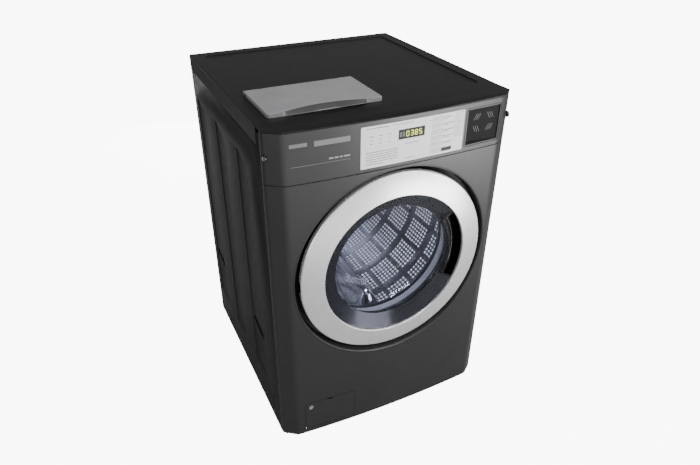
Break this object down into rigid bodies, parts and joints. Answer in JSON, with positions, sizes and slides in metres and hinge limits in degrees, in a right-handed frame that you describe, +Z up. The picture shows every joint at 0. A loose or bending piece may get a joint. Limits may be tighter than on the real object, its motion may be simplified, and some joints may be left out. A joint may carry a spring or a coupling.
{
  "type": "front-loading commercial washing machine",
  "caption": "Floor-standing front-loading commercial washer with round glass door, sloped control panel, top detergent dispenser lid, sprung tub, direct-drive drum and drain pump.",
  "frame": {"origin": "on the floor under the middle of the whole machine", "axes": "+Z up, +Y towards the rear, +X to the right of a person facing the door"},
  "size_m": [0.686, 0.7538, 0.995],
  "materials": {
    "black_paint": "satin black enamel",
    "trim_paint": "satin black enamel",
    "graphite_paint": "metallic graphite enamel",
    "zinc_steel": "galvanised sheet",
    "label_white": "satin printed film",
    "display_black": "smoked display window",
    "reader_black": "satin black blank plate",
    "button_white": "white key caps",
    "chrome": "polished",
    "housing_black": "moulded black",
    "lid_grey": "fine grained grey",
    "gasket_rubber": "grey moulded rubber",
    "white_plastic": "moulded off-white",
    "ring_silver": "satin silver",
    "frame_dark": "glossy dark grey",
    "window_glass": "clear tinted",
    "bowl_glass": "clear",
    "pocket_black": "glossy black",
    "tub_plastic": "filled polypropylene",
    "concrete": "cast concrete",
    "copper": "copper windings",
    "bearing_steel": "ground steel",
    "drum_steel": "stainless",
    "rotor_steel": "pressed steel",
    "spring_steel": "oiled spring steel",
    "impeller_black": "moulded black",
    "filter_blue": "moulded blue",
    "foot_black": "black"
  },
  "bodies": {
    "cabinet": {"left_side_panel": "black_paint", "right_side_panel": "black_paint", "rear_panel": "black_paint", "rear_cover": "black_paint", "base_frame": "zinc_steel", "top_panel": "black_paint", "top_front_trim": "trim_paint", "front_panel": "graphite_paint", "control_panel": "graphite_paint", "control_label": "label_white", "display_window": "display_black", "reader_plate": "reader_black", "security_screws": "chrome", "dispenser_housing": "housing_black", "door_gasket": "gasket_rubber", "hinge_bracket": "zinc_steel", "door_lock": "white_plastic", "suspension_springs": "spring_steel", "cross_rail": "zinc_steel", "damper_cylinders": "housing_black", "pump_housing": "white_plastic", "sump_hose": "gasket_rubber", "inlet_valves": "white_plastic", "drain_outlet": "housing_black", "control_board_case": "white_plastic", "power_gland": "housing_black"},
    "service_cover": {"service_cover": "graphite_paint"},
    "service_lock": {"service_lock": "chrome"},
    "start_button": {"start_button": "button_white"},
    "program_button_1": {"program_button_1": "button_white"},
    "program_button_2": {"program_button_2": "button_white"},
    "program_button_3": {"program_button_3": "button_white"},
    "program_button_4": {"program_button_4": "button_white"},
    "program_button_5": {"program_button_5": "button_white"},
    "program_button_6": {"program_button_6": "button_white"},
    "dispenser_lid": {"dispenser_lid": "lid_grey"},
    "door": {"door_ring": "ring_silver", "door_frame": "frame_dark", "door_window": "window_glass", "door_bowl": "bowl_glass", "door_handle_pocket": "pocket_black", "door_hinge_arm": "zinc_steel"},
    "latch_hook": {"door_latch_hook": "chrome"},
    "tub": {"tub_front": "tub_plastic", "tub_rear": "tub_plastic", "counterweights": "concrete", "stator": "copper", "damper_rods": "chrome", "bearings": "bearing_steel"},
    "drum": {"drum_shell": "drum_steel", "drum_rear": "drum_steel", "drum_lifters": "drum_steel", "drum_shaft": "bearing_steel", "rotor": "rotor_steel"},
    "pump_impeller": {"pump_impeller": "impeller_black"},
    "pump_filter": {"pump_filter": "filter_blue"},
    "foot_front_left": {"foot_front_left": "foot_black"},
    "foot_front_right": {"foot_front_right": "foot_black"},
    "foot_rear_left": {"foot_rear_left": "foot_black"},
    "foot_rear_right": {"foot_rear_right": "foot_black"}
  },
  "joints": [
    {"name": "door_hinge", "type": "hinge", "parent": "cabinet", "child": "door", "pos_m": [-0.27, -0.359, 0.553], "axis": [0, 0, -1], "range_deg": [0, 125]},
    {"name": "latch_turn", "type": "hinge", "parent": "door", "child": "latch_hook", "pos_m": [0.262, -0.3385, 0.553], "axis": [0, 0, 1], "range_deg": [0, 8], "stiffness_Nm_per_rad": 0.3},
    {"name": "tub_bounce", "type": "slide", "parent": "cabinet", "child": "tub", "axis": [0, 0, 1], "range_m": [-0.012, 0.012], "stiffness_N_per_m": 24000, "springref_m": 0.02046, "deforming": ["door_gasket", "suspension_springs", "sump_hose"]},
    {"name": "drum_spin", "type": "hinge", "parent": "tub", "child": "drum", "pos_m": [0, 0, 0.553], "axis": [0, -1, 0], "continuous": true},
    {"name": "lid_hinge", "type": "hinge", "parent": "cabinet", "child": "dispenser_lid", "pos_m": [-0.153, -0.0882, 0.9896], "axis": [-1, 0, 0], "range_deg": [0, 95]},
    {"name": "service_cover_hinge", "type": "hinge", "parent": "cabinet", "child": "service_cover", "pos_m": [-0.1975, -0.352, 0.047], "axis": [1, 0, 0], "range_deg": [0, 75]},
    {"name": "service_lock_turn", "type": "hinge", "parent": "service_cover", "child": "service_lock", "pos_m": [-0.259, -0.356, 0.112], "axis": [0, -1, 0], "range_deg": [0, 90]},
    {"name": "start_press", "type": "slide", "parent": "cabinet", "child": "start_button", "axis": [0, 1, 0], "range_m": [0, 0.001], "stiffness_N_per_m": 300},
    {"name": "program_press_1", "type": "slide", "parent": "cabinet", "child": "program_button_1", "axis": [0, 1, 0], "range_m": [0, 0.001], "stiffness_N_per_m": 200},
    {"name": "program_press_2", "type": "slide", "parent": "cabinet", "child": "program_button_2", "axis": [0, 1, 0], "range_m": [0, 0.001], "stiffness_N_per_m": 200},
    {"name": "program_press_3", "type": "slide", "parent": "cabinet", "child": "program_button_3", "axis": [0, 1, 0], "range_m": [0, 0.001], "stiffness_N_per_m": 200},
    {"name": "program_press_4", "type": "slide", "parent": "cabinet", "child": "program_button_4", "axis": [0, 1, 0], "range_m": [0, 0.001], "stiffness_N_per_m": 200},
    {"name": "program_press_5", "type": "slide", "parent": "cabinet", "child": "program_button_5", "axis": [0, 1, 0], "range_m": [0, 0.001], "stiffness_N_per_m": 200},
    {"name": "program_press_6", "type": "slide", "parent": "cabinet", "child": "program_button_6", "axis": [0, 1, 0], "range_m": [0, 0.001], "stiffness_N_per_m": 200},
    {"name": "pump_impeller_spin", "type": "hinge", "parent": "cabinet", "child": "pump_impeller", "pos_m": [-0.19, -0.25, 0.08], "axis": [0, -1, 0], "continuous": true},
    {"name": "pump_filter_turn", "type": "hinge", "parent": "cabinet", "child": "pump_filter", "pos_m": [-0.19, -0.338, 0.08], "axis": [0, -1, 0], "range_deg": [0, 90]},
    {"name": "foot_front_left_turn", "type": "hinge", "parent": "cabinet", "child": "foot_front_left", "pos_m": [-0.295, -0.285, 0.02], "axis": [0, 0, 1], "continuous": true},
    {"name": "foot_front_right_turn", "type": "hinge", "parent": "cabinet", "child": "foot_front_right", "pos_m": [0.295, -0.285, 0.02], "axis": [0, 0, 1], "continuous": true},
    {"name": "foot_rear_left_turn", "type": "hinge", "parent": "cabinet", "child": "foot_rear_left", "pos_m": [-0.295, 0.295, 0.02], "axis": [0, 0, 1], "continuous": true},
    {"name": "foot_rear_right_turn", "type": "hinge", "parent": "cabinet", "child": "foot_rear_right", "pos_m": [0.295, 0.295, 0.02], "axis": [0, 0, 1], "continuous": true}
  ]
}
